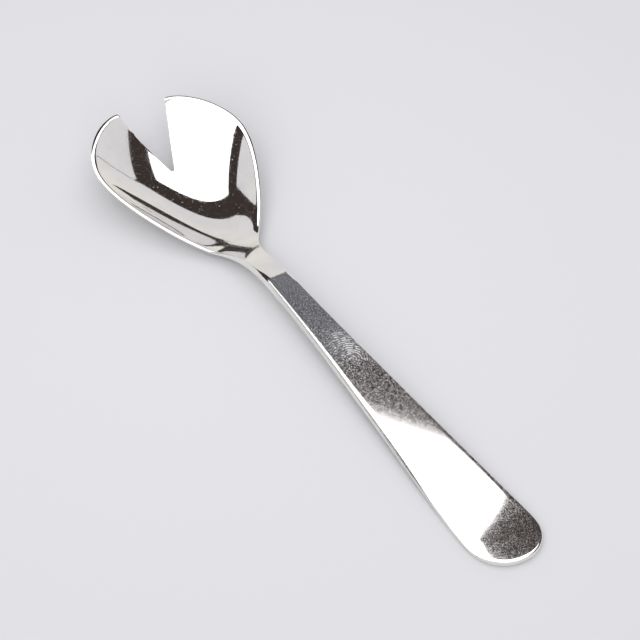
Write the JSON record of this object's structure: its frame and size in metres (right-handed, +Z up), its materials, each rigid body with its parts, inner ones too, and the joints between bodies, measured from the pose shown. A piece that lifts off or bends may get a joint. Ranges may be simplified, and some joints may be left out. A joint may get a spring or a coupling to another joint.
{
  "type": "oyster spoon",
  "caption": "Polished silver oyster spoon with a broad shallow bowl, a V notch that leaves pointed tines at its tip, and a flat tapering handle soldered to the neck.",
  "frame": {"origin": "on the table under the middle of the spoon's length and width", "axes": "+X from the tine tips to the handle's end, +Y across the spoon, +Z up out of the bowl"},
  "size_m": [0.15, 0.0364, 0.0138],
  "materials": {
    "bowl_silver": "bright polished silver with a few fine scratches",
    "handle_silver": "polished silver worn to a haze of fine swirling scratches",
    "solder_silver": "slightly yellower silver solder"
  },
  "bodies": {
    "root": {"bowl": "bowl_silver", "handle": "handle_silver", "solder_seam": "solder_silver"}
  },
  "joints": []
}
